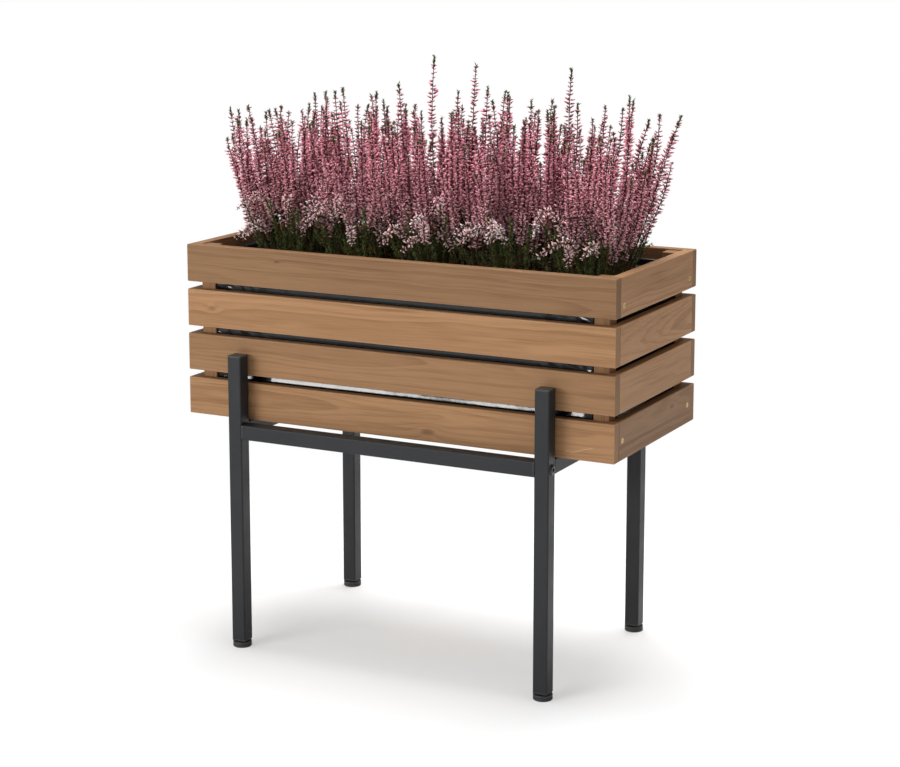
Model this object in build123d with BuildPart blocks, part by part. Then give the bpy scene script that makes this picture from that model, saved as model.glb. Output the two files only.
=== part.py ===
"""Raised planter on legs: a slatted box with a film liner, carried by a bolted tube stand.

Frame: millimetres, +Z up, origin on the floor under the middle of the planter.
X runs along the long side, and the front is towards -Y.
"""

import os

from build123d import *

# Box
box_length = 620
box_depth = 270
slat_levels = 4
slat_height = 50
slat_gap = 10
slat_thickness = 14
slat_rounding = 1.5
post_size = 21
post_drop = 2

# Floor of the box
batten_height = 21
board_count = 4
board_gap = 7
board_thickness = 10

# Film liner and filling
liner_wall = 1
liner_clearance = 0.3
liner_drop = 16
soil_drop = 25
soil_clearance = 1.8
soil_lift = 0.3

# Heather
plant_count = 5
plant_gap = 2
plant_height = 278
plant_neck_length = 70
plant_neck_depth = 80
plant_inset = 22
crown_depth = 290
crown_margin = 2

# Stand
under_height = 310
leg_rise = 90
leg_inset = 87
tube_size = 20
tube_wall = 1.5
tube_rounding = 2
cradle_clearance = 5
rail_drop = 2
plug_length = 20
plug_flange = 1.5
plug_clearance = 0.1
cap_flange = 2
cap_plug = 12
bead_leg = 3

# Levelling feet
foot_diameter = 25
foot_pad_height = 7.5
foot_collar_diameter = 13
foot_collar_height = 1.5
foot_groove = 0.8
insert_flange = 2
insert_length = 28
stud_diameter = 8
stud_length = 24
stud_seat_depth = 5
thread_clearance = 0.05

# Fasteners
screw_diameter = 3.5
screw_head = 7
screw_length = 32
screw_clearance = 0.1
slat_bite = 9
top_screw_drop = 36
inner_screw_rise = 12
cross_screw_drop = 5
board_screw_half_pitch = 40
board_screw_length = 26
bolt_diameter = 8
bolt_head = 14
bolt_head_height = 2.2
bolt_socket = 5
bolt_socket_depth = 3
bolt_clearance = 0.5
bolt_bite = 16
staple_crown = 10
staple_wire = 1
staple_leg = 6
staple_drop = 8
front_staples = 5
side_staples = 2

os.makedirs("parts", exist_ok=True)

half_length = box_length / 2
half_depth = box_depth / 2
box_bottom = under_height
level_pitch = slat_height + slat_gap
box_height = slat_levels * level_pitch - slat_gap
rim = box_bottom + box_height
inner_x = half_length - slat_thickness
inner_y = half_depth - slat_thickness
post_x = inner_x - post_size / 2
post_y = inner_y - post_size / 2
post_face_x = inner_x - post_size
post_face_y = inner_y - post_size
level_middle = [box_bottom + slat_height / 2 + i * level_pitch for i in range(slat_levels)]
top_level = slat_levels - 1
inner_screw_z = [z + inner_screw_rise for z in level_middle]
cross_screw_z = [z - cross_screw_drop for z in level_middle[1:top_level]]
side_screw_z = [level_middle[0], rim - top_screw_drop]

leg_x = half_length - leg_inset
leg_y = half_depth + cradle_clearance + tube_size / 2
foot_height = foot_pad_height + foot_collar_height
tube_bottom = foot_height + insert_flange
leg_top = box_bottom + leg_rise
tube_top = leg_top - cap_flange
tube_bore = tube_size - 2 * tube_wall
bore_rounding = max(tube_rounding - tube_wall, 0.2)
plug_size = tube_bore - 2 * plug_clearance
rail_middle = box_bottom - rail_drop - tube_size / 2
crossbar_middle = box_bottom - tube_size / 2
rail_half = leg_x - tube_size / 2 - plug_flange
crossbar_half = leg_y - tube_size / 2

board_top = box_bottom + batten_height + board_thickness
board_pitch = (2 * post_face_x + board_gap) / board_count
board_x = [(i - (board_count - 1) / 2) * board_pitch for i in range(board_count)]
batten_screw_x = [board_x[0], (board_x[0] + board_x[-1]) / 2, board_x[-1]]

liner_top = rim - liner_drop
soil_top = rim - soil_drop
staple_z = liner_top - staple_drop
liner_x = inner_x - liner_clearance
liner_y = inner_y - liner_clearance
film_face_x = liner_x - liner_wall
film_face_y = liner_y - liner_wall
staple_bite = staple_leg - liner_clearance - liner_wall

SIDES = {"left": -1, "right": 1}
ENDS = {"front": -1, "back": 1}


def save(part, name):
    """Name a finished piece and write it as its own STEP file."""
    part.label = name
    export_step(part, f"parts/{name}.step")


def row(count, half_span):
    """Evenly spread positions along a length, kept clear of both of its ends."""
    pitch = 2 * half_span / count
    return [(i + 0.5) * pitch - half_span for i in range(count)]


staple_x = row(front_staples, post_face_x)
staple_y = row(side_staples, post_face_y)


# ---------------------------------------------------------------- slats

for end_name, end in ENDS.items():
    inward = Plane((0, end * inner_y, 0), x_dir=(1, 0, 0), z_dir=(0, end, 0))
    for level, middle in enumerate(level_middle):
        with BuildPart() as long_slat:
            with Locations((0, end * (half_depth - slat_thickness / 2), middle)):
                Box(box_length, slat_thickness, slat_height)
            fillet(long_slat.edges(), radius=slat_rounding)
            with BuildSketch(inward):
                with Locations(*[
                    inward.to_local_coords(Vector(side * post_x, 0, middle + inner_screw_rise))
                    for side in SIDES.values()
                ]):
                    Circle(screw_diameter / 2 + screw_clearance)
            extrude(amount=slat_bite + screw_clearance, mode=Mode.SUBTRACT)
            if level == 0:
                with BuildSketch(inward):
                    with Locations(*[
                        inward.to_local_coords(Vector(x, 0, box_bottom + batten_height / 2))
                        for x in batten_screw_x
                    ]):
                        Circle(screw_diameter / 2 + screw_clearance)
                extrude(amount=slat_bite + screw_clearance, mode=Mode.SUBTRACT)
            if level == top_level:
                with Locations(*[
                    (x + foot * (staple_crown - staple_wire) / 2,
                     end * (inner_y + staple_bite / 2), staple_z)
                    for x in staple_x for foot in (-1, 1)
                ]):
                    Box(staple_wire, staple_bite, staple_wire, mode=Mode.SUBTRACT)
        save(long_slat.part, f"{end_name}_slat_{level + 1}")

for side_name, side in SIDES.items():
    outer = Plane((side * half_length, 0, 0), x_dir=(0, 1, 0), z_dir=(side, 0, 0))
    inward = Plane((side * inner_x, 0, 0), x_dir=(0, 1, 0), z_dir=(side, 0, 0))
    for level, middle in enumerate(level_middle):
        with BuildPart() as short_slat:
            with Locations((side * (half_length - slat_thickness / 2), 0, middle)):
                Box(slat_thickness, 2 * inner_y, slat_height)
            long_edges = short_slat.edges().filter_by(Axis.Y)
            fillet(long_edges, radius=slat_rounding)
            if level in (0, top_level):
                screw_z = side_screw_z[0] if level == 0 else side_screw_z[1]
                with Locations(*[
                    outer.location * Location(outer.to_local_coords(
                        Vector(side * half_length, end * post_y, screw_z)))
                    for end in ENDS.values()
                ]):
                    CounterSinkHole(screw_diameter / 2 + screw_clearance,
                                    screw_head / 2 + screw_clearance, depth=slat_thickness)
            else:
                with BuildSketch(inward):
                    with Locations(*[
                        inward.to_local_coords(
                            Vector(side * inner_x, end * post_y, middle - cross_screw_drop))
                        for end in ENDS.values()
                    ]):
                        Circle(screw_diameter / 2 + screw_clearance)
                extrude(amount=slat_bite + screw_clearance, mode=Mode.SUBTRACT)
            if level == top_level:
                with Locations(*[
                    (side * (inner_x + staple_bite / 2),
                     y + foot * (staple_crown - staple_wire) / 2, staple_z)
                    for y in staple_y for foot in (-1, 1)
                ]):
                    Box(staple_bite, staple_wire, staple_wire, mode=Mode.SUBTRACT)
        save(short_slat.part, f"{side_name}_slat_{level + 1}")


# ---------------------------------------------------------------- corner posts

for end_name, end in ENDS.items():
    for side_name, side in SIDES.items():
        post_height = box_height - post_drop
        inner_face = Plane((side * post_x, end * post_face_y, 0), x_dir=(1, 0, 0), z_dir=(0, -end, 0))
        cross_face = Plane((side * post_face_x, end * post_y, 0), x_dir=(0, 1, 0), z_dir=(-side, 0, 0))
        outer_face = Plane((side * inner_x, end * post_y, 0), x_dir=(0, 1, 0), z_dir=(side, 0, 0))
        with BuildPart() as post:
            with Locations((side * post_x, end * post_y, box_bottom + post_height / 2)):
                Box(post_size, post_size, post_height)
            chamfer(post.edges().filter_by(Axis.Z), length=0.8)
            with Locations(*[
                inner_face.location * Location(inner_face.to_local_coords(
                    Vector(side * post_x, end * post_face_y, z)))
                for z in inner_screw_z
            ]):
                CounterSinkHole(screw_diameter / 2 + screw_clearance,
                                screw_head / 2 + screw_clearance, depth=post_size)
            with Locations(*[
                cross_face.location * Location(cross_face.to_local_coords(
                    Vector(side * post_face_x, end * post_y, z)))
                for z in cross_screw_z
            ]):
                CounterSinkHole(screw_diameter / 2 + screw_clearance,
                                screw_head / 2 + screw_clearance, depth=post_size)
            with BuildSketch(outer_face):
                with Locations(*[
                    outer_face.to_local_coords(Vector(side * inner_x, end * post_y, z))
                    for z in side_screw_z
                ]):
                    Circle(screw_diameter / 2 + screw_clearance)
            extrude(amount=-(screw_length - slat_thickness + screw_clearance), mode=Mode.SUBTRACT)
        save(post.part, f"post_{end_name}_{side_name}")


# ---------------------------------------------------------------- floor of the box

screw_hole = screw_diameter / 2 + screw_clearance
batten_middle = box_bottom + batten_height / 2
board_screw_x = [x + s * board_screw_half_pitch for x in board_x for s in (-1, 1)]

for end_name, end in ENDS.items():
    face = Plane((0, end * post_face_y, 0), x_dir=(1, 0, 0), z_dir=(0, -end, 0))
    with BuildPart() as batten:
        with Locations((0, end * post_y, batten_middle)):
            Box(2 * post_face_x, post_size, batten_height)
        with Locations(*[
            face.location * Location(face.to_local_coords(
                Vector(x, end * post_face_y, batten_middle)))
            for x in batten_screw_x
        ]):
            CounterSinkHole(screw_hole, screw_head / 2 + screw_clearance, depth=post_size)
        with Locations(*[(x, end * post_y, box_bottom + batten_height) for x in board_screw_x]):
            Hole(screw_hole, depth=board_screw_length - board_thickness + screw_clearance)
    save(batten.part, f"floor_batten_{end_name}")

for number, middle in enumerate(board_x):
    with BuildPart() as board:
        with Locations((middle, 0, board_top - board_thickness / 2)):
            Box(board_pitch - board_gap, 2 * inner_y, board_thickness)
        with Locations(*[
            (middle + s * board_screw_half_pitch, end * post_y, board_top)
            for s in (-1, 1) for end in (-1, 1)
        ]):
            CounterSinkHole(screw_hole, screw_head / 2 + screw_clearance, depth=board_thickness)
    save(board.part, f"floor_board_{number + 1}")


# ---------------------------------------------------------------- film liner and its staples

notch = post_size + liner_clearance

with BuildPart() as liner:
    with BuildSketch(Plane.XY.offset(board_top)) as liner_outline:
        Rectangle(2 * liner_x, 2 * liner_y)
        with GridLocations(2 * liner_x - notch, 2 * liner_y - notch, 2, 2):
            Rectangle(notch, notch, mode=Mode.SUBTRACT)
    extrude(amount=liner_top - board_top)
    with BuildSketch(Plane.XY.offset(board_top + liner_wall)):
        Rectangle(2 * film_face_x, 2 * film_face_y)
        with GridLocations(2 * film_face_x - notch, 2 * film_face_y - notch, 2, 2):
            Rectangle(notch, notch, mode=Mode.SUBTRACT)
    extrude(amount=liner_top - board_top, mode=Mode.SUBTRACT)
    with Locations(*[
        (x + foot * (staple_crown - staple_wire) / 2, end * (liner_y - liner_wall / 2), staple_z)
        for x in staple_x for foot in (-1, 1) for end in (-1, 1)
    ]):
        Box(staple_wire, 2 * liner_wall, staple_wire, mode=Mode.SUBTRACT)
    with Locations(*[
        (side * (liner_x - liner_wall / 2), y + foot * (staple_crown - staple_wire) / 2, staple_z)
        for y in staple_y for foot in (-1, 1) for side in (-1, 1)
    ]):
        Box(2 * liner_wall, staple_wire, staple_wire, mode=Mode.SUBTRACT)
save(liner.part, "liner")

staple_seats = [
    Plane((x, end * film_face_y, staple_z), x_dir=(1, 0, 0), z_dir=(0, -end, 0))
    for x in staple_x for end in (-1, 1)
] + [
    Plane((side * film_face_x, y, staple_z), x_dir=(0, 1, 0), z_dir=(-side, 0, 0))
    for y in staple_y for side in (-1, 1)
]

with BuildPart() as staples:
    with Locations(*[seat.location for seat in staple_seats]):
        Box(staple_crown, staple_wire, staple_wire, align=(Align.CENTER, Align.CENTER, Align.MIN))
    with Locations(*[
        seat.location * Location((foot * (staple_crown - staple_wire) / 2, 0, 0))
        for seat in staple_seats for foot in (-1, 1)
    ]):
        Box(staple_wire, staple_wire, staple_leg, align=(Align.CENTER, Align.CENTER, Align.MAX))
save(staples.part, "liner_staples")


# ---------------------------------------------------------------- wood screws

def wood_screw(length):
    """A countersunk screw with a cross recess, its head flush at z = 0 and its point downwards."""
    shank = screw_diameter / 2
    head = screw_head / 2
    neck = head - shank
    with BuildPart() as screw:
        with BuildSketch(Plane.XZ):
            with BuildLine():
                Polyline((0, 0), (head, 0), (shank, -neck), (shank, -length + 2 * shank),
                         (0, -length), close=True)
            make_face()
        revolve(axis=Axis.Z)
        with BuildSketch(Plane.XY):
            Rectangle(head, head / 4)
            Rectangle(head / 4, head)
        extrude(amount=-head / 2.5, taper=12, mode=Mode.SUBTRACT)
    return screw.part


def add_screws(name, length, seats):
    """One node that holds a screw at each seat, pointing against the seat's normal."""
    screw = wood_screw(length)
    with BuildPart() as group:
        with Locations(*[seat.location for seat in seats]):
            add(screw)
    save(group.part, name)


add_screws("side_screws", screw_length, [
    Plane((side * half_length, end * post_y, z), z_dir=(side, 0, 0))
    for side in (-1, 1) for end in (-1, 1) for z in side_screw_z
])
add_screws("post_screws", post_size + slat_bite, [
    Plane((side * post_x, end * post_face_y, z), z_dir=(0, -end, 0))
    for side in (-1, 1) for end in (-1, 1) for z in inner_screw_z
] + [
    Plane((side * post_face_x, end * post_y, z), z_dir=(-side, 0, 0))
    for side in (-1, 1) for end in (-1, 1) for z in cross_screw_z
])
add_screws("batten_screws", post_size + slat_bite, [
    Plane((x, end * post_face_y, batten_middle), z_dir=(0, -end, 0))
    for x in batten_screw_x for end in (-1, 1)
])
add_screws("board_screws", board_screw_length, [
    Plane((x, end * post_y, board_top), z_dir=(0, 0, 1))
    for x in board_screw_x for end in (-1, 1)
])


# ---------------------------------------------------------------- stand: legs, rails and crossbars

bolt_hole = (bolt_diameter + bolt_clearance) / 2


def tube_section(plane):
    """The square tube's hollow section, drawn on a plane."""
    with BuildSketch(plane) as section:
        RectangleRounded(tube_size, tube_size, tube_rounding)
        RectangleRounded(tube_bore, tube_bore, bore_rounding, mode=Mode.SUBTRACT)
    return section.sketch


for end_name, end in ENDS.items():
    for side_name, side in SIDES.items():
        with BuildPart() as leg:
            add(tube_section(Plane((side * leg_x, end * leg_y, tube_bottom))))
            extrude(amount=tube_top - tube_bottom)
            with BuildSketch(Plane((side * leg_x, end * leg_y, rail_middle), z_dir=(1, 0, 0))):
                Circle(bolt_hole)
            extrude(amount=tube_size, both=True, mode=Mode.SUBTRACT)
        save(leg.part, f"leg_{end_name}_{side_name}")

    with BuildPart() as rail:
        add(tube_section(Plane((-rail_half, end * leg_y, rail_middle), z_dir=(1, 0, 0))))
        extrude(amount=2 * rail_half, dir=(1, 0, 0))
    save(rail.part, f"rail_{end_name}")

for side_name, side in SIDES.items():
    with BuildPart() as crossbar:
        add(tube_section(Plane((side * leg_x, -crossbar_half, crossbar_middle), z_dir=(0, 1, 0))))
        extrude(amount=2 * crossbar_half, dir=(0, 1, 0))
    save(crossbar.part, f"crossbar_{side_name}")

with BuildPart() as weld_beads:
    bead_half = tube_size / 2 - tube_rounding
    for side in (-1, 1):
        for end in (-1, 1):
            for above in (1, -1):
                corner_z = crossbar_middle + above * tube_size / 2
                with BuildSketch(Plane((side * leg_x, 0, 0), x_dir=(0, 1, 0), z_dir=(1, 0, 0))):
                    with BuildLine():
                        toe = (end * (crossbar_half - bead_leg), corner_z)
                        top = (end * crossbar_half, corner_z + above * bead_leg)
                        root = (end * crossbar_half, corner_z)
                        bulge = (end * (crossbar_half - 0.56 * bead_leg),
                                 corner_z + above * 0.56 * bead_leg)
                        ThreePointArc(toe, bulge, top)
                        Polyline(top, root, toe)
                    make_face()
                extrude(amount=bead_half, both=True)
save(weld_beads.part, "weld_beads")


# ---------------------------------------------------------------- stand: plugs, caps and bolts

with BuildPart() as rail_plugs:
    for side in (-1, 1):
        for end in (-1, 1):
            mouth = Plane((side * rail_half, end * leg_y, rail_middle), z_dir=(-side, 0, 0))
            for size, rounding, reach in (
                (tube_size, tube_rounding, -plug_flange),
                (plug_size, bore_rounding, plug_length),
            ):
                with BuildSketch(mouth):
                    RectangleRounded(size, size, rounding)
                    Circle(bolt_diameter / 2 + thread_clearance, mode=Mode.SUBTRACT)
                extrude(amount=reach)
save(rail_plugs.part, "rail_plugs")

with BuildPart() as leg_caps:
    for side in (-1, 1):
        for end in (-1, 1):
            with BuildSketch(Plane((side * leg_x, end * leg_y, tube_top))):
                RectangleRounded(tube_size, tube_size, tube_rounding)
            extrude(amount=cap_flange)
            with BuildSketch(Plane((side * leg_x, end * leg_y, tube_top))):
                RectangleRounded(plug_size, plug_size, bore_rounding)
            extrude(amount=-cap_plug)
    chamfer(leg_caps.faces().group_by(Axis.Z)[-1].edges(), length=cap_flange / 4)
save(leg_caps.part, "leg_caps")

with BuildPart() as foot_inserts:
    for side in (-1, 1):
        for end in (-1, 1):
            with BuildSketch(Plane((side * leg_x, end * leg_y, foot_height))):
                RectangleRounded(tube_size, tube_size, tube_rounding)
            extrude(amount=insert_flange)
            with BuildSketch(Plane((side * leg_x, end * leg_y, tube_bottom))):
                RectangleRounded(plug_size, plug_size, bore_rounding)
            extrude(amount=insert_length - insert_flange)
            with Locations((side * leg_x, end * leg_y, foot_height + insert_length)):
                Hole(stud_diameter / 2 + thread_clearance, depth=insert_length)
save(foot_inserts.part, "foot_inserts")

with BuildPart() as bolt:
    with BuildSketch(Plane.XZ):
        with BuildLine():
            crown = (bolt_head / 4, bolt_head_height)
            rim_point = (bolt_head / 2, bolt_head_height / 4)
            middle = (0.42 * bolt_head, 0.75 * bolt_head_height)
            Polyline((0, bolt_head_height), crown)
            ThreePointArc(crown, middle, rim_point)
            Polyline(rim_point, (bolt_head / 2, 0), (bolt_diameter / 2, 0),
                     (bolt_diameter / 2, -tube_size - bolt_bite), (0, -tube_size - bolt_bite),
                     (0, bolt_head_height))
        make_face()
    revolve(axis=Axis.Z)
    with BuildSketch(Plane.XY.offset(bolt_head_height)):
        RegularPolygon(bolt_socket / 2, 6, major_radius=False)
    extrude(amount=-bolt_socket_depth, mode=Mode.SUBTRACT)

with BuildPart() as rail_bolts:
    with Locations(*[
        Plane((side * (leg_x + tube_size / 2), end * leg_y, rail_middle), z_dir=(side, 0, 0)).location
        for side in (-1, 1) for end in (-1, 1)
    ]):
        add(bolt.part)
save(rail_bolts.part, "rail_bolts")


# ---------------------------------------------------------------- levelling feet

for end_name, end in ENDS.items():
    for side_name, side in SIDES.items():
        base = Plane((side * leg_x, end * leg_y, 0))
        with BuildPart() as pad:
            with BuildSketch(base):
                Circle(foot_diameter / 2)
            extrude(amount=foot_pad_height)
            chamfer(pad.edges().group_by(Axis.Z)[0], length=foot_groove)
            fillet(pad.edges().group_by(Axis.Z)[-1], radius=foot_groove)
            with BuildSketch(base.offset(foot_pad_height)):
                Circle(foot_collar_diameter / 2)
            extrude(amount=foot_collar_height)
            with BuildSketch(base.offset(foot_pad_height / 2 - foot_groove / 2)):
                Circle(foot_diameter / 2)
                Circle(foot_diameter / 2 - foot_groove, mode=Mode.SUBTRACT)
            extrude(amount=foot_groove, mode=Mode.SUBTRACT)
            with Locations((side * leg_x, end * leg_y, foot_height)):
                Hole(stud_diameter / 2 + thread_clearance, depth=foot_height - foot_pad_height
                     + stud_seat_depth)
        save(pad.part, f"foot_pad_{end_name}_{side_name}")

        stud_bottom = foot_pad_height - stud_seat_depth
        with BuildPart() as stud:
            with BuildSketch(base.offset(stud_bottom)):
                Circle(stud_diameter / 2)
            extrude(amount=foot_height - stud_bottom + stud_length)
            chamfer(stud.edges().group_by(Axis.Z)[-1], length=stud_diameter / 10)
        save(stud.part, f"foot_stud_{end_name}_{side_name}")


# ---------------------------------------------------------------- soil and heather

fill_x = film_face_x - soil_clearance
fill_y = film_face_y - soil_clearance
soil_bottom = board_top + liner_wall + soil_lift

with BuildPart() as potting_soil:
    with BuildSketch(Plane.XY.offset(soil_bottom)):
        Rectangle(2 * fill_x, 2 * fill_y)
        with GridLocations(2 * fill_x - notch, 2 * fill_y - notch, 2, 2):
            Rectangle(notch, notch, mode=Mode.SUBTRACT)
    extrude(amount=soil_top - soil_bottom)
save(potting_soil.part, "potting_soil")

neck_top = rim + plant_inset
crown_top = rim + plant_height - soil_drop
crown_half = half_length - crown_margin
crown_pitch = (2 * crown_half + plant_gap) / plant_count
neck_pitch = (2 * (post_face_x - plant_inset) - plant_neck_length) / (plant_count - 1)

for number in range(plant_count):
    place = number - (plant_count - 1) / 2
    with BuildPart() as heather:
        with BuildSketch(Plane((place * neck_pitch, 0, soil_top))):
            RectangleRounded(plant_neck_length, plant_neck_depth, plant_neck_length / 3)
        with BuildSketch(Plane((place * neck_pitch, 0, neck_top))):
            RectangleRounded(neck_pitch - plant_gap, 2 * (inner_y - plant_inset), plant_inset)
        with BuildSketch(Plane((place * crown_pitch, 0, crown_top))):
            RectangleRounded(crown_pitch - plant_gap, crown_depth, plant_inset)
        loft(ruled=True)
    save(heather.part, f"heather_{number + 1}")
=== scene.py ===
import math

import bpy
import numpy as np
from mathutils import Euler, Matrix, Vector
from mathutils import noise as lumps


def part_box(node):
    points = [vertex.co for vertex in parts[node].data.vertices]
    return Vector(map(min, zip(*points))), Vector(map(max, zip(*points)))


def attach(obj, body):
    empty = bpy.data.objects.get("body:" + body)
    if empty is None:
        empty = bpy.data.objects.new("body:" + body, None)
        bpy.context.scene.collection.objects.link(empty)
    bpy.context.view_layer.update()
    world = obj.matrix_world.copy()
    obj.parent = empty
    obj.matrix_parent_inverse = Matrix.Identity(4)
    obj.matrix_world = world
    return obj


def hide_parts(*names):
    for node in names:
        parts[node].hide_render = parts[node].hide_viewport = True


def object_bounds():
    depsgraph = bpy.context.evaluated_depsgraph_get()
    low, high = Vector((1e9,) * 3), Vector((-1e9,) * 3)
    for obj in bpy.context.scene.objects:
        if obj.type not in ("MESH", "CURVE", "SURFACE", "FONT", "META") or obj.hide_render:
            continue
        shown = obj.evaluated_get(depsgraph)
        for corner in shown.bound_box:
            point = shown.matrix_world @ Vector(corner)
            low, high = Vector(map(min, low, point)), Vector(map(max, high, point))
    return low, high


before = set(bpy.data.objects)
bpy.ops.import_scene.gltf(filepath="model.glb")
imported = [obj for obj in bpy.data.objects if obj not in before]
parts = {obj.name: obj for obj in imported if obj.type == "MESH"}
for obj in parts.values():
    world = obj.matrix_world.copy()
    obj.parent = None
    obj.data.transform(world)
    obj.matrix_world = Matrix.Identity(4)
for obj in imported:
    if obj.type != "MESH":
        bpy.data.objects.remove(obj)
cad_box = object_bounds()
bpy.ops.object.select_all(action="DESELECT")


# ---------------------------------------------------------------- stand: legs, rails and crossbars
# Four legs of square steel tube stand outside the box. A crossbar is welded between the two
# at each end and carries the box, and a rail is bolted along each long side. All of it is
# powder coated in fine-textured anthracite, which leaves the weld beads soft and low.

COAT_COLOUR = (0.0110, 0.0120, 0.0140, 1)
COAT_DUSTY = (0.0150, 0.0160, 0.0178, 1)
TUBE_PIECES = ("leg_front_left", "leg_front_right", "leg_back_left", "leg_back_right",
               "rail_front", "rail_back", "crossbar_left", "crossbar_right", "weld_beads")


def new_group(name, outputs, **inputs):
    """Start a node group of numbers and vectors: its tree, its input sockets, its output node."""
    tree = bpy.data.node_groups.new(name, "ShaderNodeTree")
    for label, value in inputs.items():
        kind = "NodeSocketVector" if isinstance(value, tuple) else "NodeSocketFloat"
        label = label.replace("_", " ")
        socket = tree.interface.new_socket(label, in_out="INPUT", socket_type=kind)
        socket.default_value = value
    for label in outputs:
        tree.interface.new_socket(label, in_out="OUTPUT", socket_type="NodeSocketFloat")
    return tree, tree.nodes.new("NodeGroupInput").outputs, tree.nodes.new("NodeGroupOutput")


def feed(tree, node, sources):
    """Give named or numbered inputs of a node a value, or a link from a socket."""
    for key, source in sources:
        if isinstance(source, (int, float, tuple)):
            node.inputs[key].default_value = source
        else:
            tree.links.new(source, node.inputs[key])


def wire(tree, kind, sources=(), settings=(), **values):
    """Add a shader node, set its properties and values, and feed its other inputs."""
    node = tree.nodes.new("ShaderNode" + kind)
    for key, value in settings:
        setattr(node, key, value)
    for key, value in values.items():
        node.inputs[key.replace("_", " ")].default_value = value
    feed(tree, node, sources)
    return node


def maths(tree, operation, first, second=0.0, third=0.0, clamp=False):
    """A Math node as one line; the operands are numbers or sockets."""
    node = wire(tree, "Math", [(0, first), (1, second), (2, third)],
                [("operation", operation), ("use_clamp", clamp)])
    return node.outputs[0]


def step_between(tree, value, start, end, low=0.0, high=1.0, kind="SMOOTHSTEP"):
    """Go from low to high while the value goes from start to end, smoothly or LINEAR."""
    node = wire(tree, "MapRange",
                [("Value", value), ("From Min", start), ("From Max", end), ("To Min", low),
                 ("To Max", high)], [("interpolation_type", kind)])
    return node.outputs["Result"]


def blend_colour(tree, mask, under, over):
    """Mix two colours by a mask and return the result."""
    node = wire(tree, "Mix", [(0, mask), (6, under), (7, over)], [("data_type", "RGBA")])
    return node.outputs[2]


def new_material(name, **shader_values):
    """A material with a Principled shader: itself, its tree, object coordinates, shader."""
    material = bpy.data.materials.new(name)
    material.use_nodes = True
    tree = material.node_tree
    tree.nodes.clear()
    here = wire(tree, "TexCoord").outputs["Object"]
    shader = wire(tree, "BsdfPrincipled", **shader_values)
    wire(tree, "OutputMaterial", [("Surface", shader.outputs[0])])
    return material, tree, here, shader


def bump(tree, height, shader, strength, distance):
    """Raise the surface by a height mask; distance is in metres."""
    node = wire(tree, "Bump", [("Height", height)], Strength=strength, Distance=distance)
    tree.links.new(node.outputs[0], shader.inputs["Normal"])


def wear(names, material):
    """Give CAD pieces their finish."""
    for name in names:
        slots = parts[name].material_slots
        if not slots:
            parts[name].data.materials.append(material)
        for slot in slots:
            slot.material = material


pebble, pebble_in, pebble_out = new_group(
    "pebbled_skin", ("Height", "Cloud"), Place=(0.0, 0.0, 0.0), Grain_Per_Metre=900.0)
pebble_place = [("Vector", pebble_in["Place"])]
pebble_grain = pebble_place + [("Scale", pebble_in["Grain Per Metre"])]
fine = wire(pebble, "TexNoise", pebble_grain, Detail=1.5, Roughness=0.45)
coarse = wire(pebble, "TexVoronoi", pebble_grain, [("feature", "SMOOTH_F1")],
              Smoothness=0.6)
cloud = wire(pebble, "TexNoise", pebble_place, Scale=14.0, Detail=3.0, Roughness=0.55)
feed(pebble, pebble_out, [
    ("Height", maths(pebble, "MULTIPLY_ADD", coarse.outputs["Distance"], 0.5, fine.outputs["Fac"])),
    ("Cloud", step_between(pebble, cloud.outputs["Fac"], 0.35, 0.7))])


def skinned(name, colour, dusty, grain, depth, rough_low, rough_high, **shader_values):
    """A moulded or coated surface: pebbled skin, slight clouding in colour and in gloss."""
    material, tree, here, shader = new_material(name, **shader_values)
    skin = wire(tree, "Group", [("Place", here)], [("node_tree", pebble)],
                Grain_Per_Metre=grain)
    cloud = skin.outputs["Cloud"]
    feed(tree, shader, [
        ("Base Color", blend_colour(tree, cloud, colour, dusty)),
        ("Roughness", step_between(tree, cloud, 0.0, 1.0, rough_low, rough_high, "LINEAR"))])
    bump(tree, skin.outputs["Height"], shader, 0.5, depth)
    return material


wear(TUBE_PIECES, skinned("anthracite_powder_coat", COAT_COLOUR, COAT_DUSTY,
                          850.0, 0.00012, 0.42, 0.52, IOR=1.34))


# ---------------------------------------------------------------- plugs, caps and threaded inserts
# The open tube ends are closed with push-in polyethylene plugs: a flush cap on each leg,
# a thin-flanged plug at each rail end, and at the foot of each leg an insert that holds
# the stud of the levelling foot. All are black, moulded with a matt texture.

PLASTIC_BLACK = (0.0105, 0.0108, 0.0115, 1)
PLASTIC_SCUFFED = (0.0190, 0.0193, 0.0200, 1)
CAP_GREY = (0.0200, 0.0210, 0.0230, 1)
CAP_SCUFFED = (0.0280, 0.0290, 0.0310, 1)

wear(("rail_plugs", "foot_inserts"),
     skinned("black_matt_plastic", PLASTIC_BLACK, PLASTIC_SCUFFED, 1400.0, 0.00008, 0.42, 0.58,
             IOR=1.49))
wear(("leg_caps",), skinned("leg_cap_plastic", CAP_GREY, CAP_SCUFFED, 1400.0, 0.00008, 0.36, 0.50,
                            IOR=1.49))


# ---------------------------------------------------------------- rail bolts
# Each rail is pulled up to its legs by a low button-headed furniture bolt with a hexagon
# socket, turned from steel and finished black. Its rim is rubbed slightly brighter by the key.

BOLT_BLACK = (0.020, 0.020, 0.021, 1)
BOLT_RUBBED = (0.055, 0.053, 0.051, 1)

wear(("rail_bolts",), skinned("blackened_steel", BOLT_BLACK, BOLT_RUBBED, 2200.0, 0.00003,
                              0.22, 0.38, Metallic=0.85))


# ---------------------------------------------------------------- levelling feet
# A black nylon pad under each leg turns on a zinc-plated M8 stud, so that the planter
# stands level. The pad's ribbed rim is dusted a little with grit from the paving.

CORNERS = ("front_left", "front_right", "back_left", "back_right")
NYLON_BLACK = (0.0125, 0.0125, 0.0130, 1)
NYLON_GRITTY = (0.0270, 0.0260, 0.0250, 1)
ZINC_BRIGHT = (0.56, 0.57, 0.59, 1)
ZINC_DULL = (0.40, 0.41, 0.44, 1)

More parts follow.
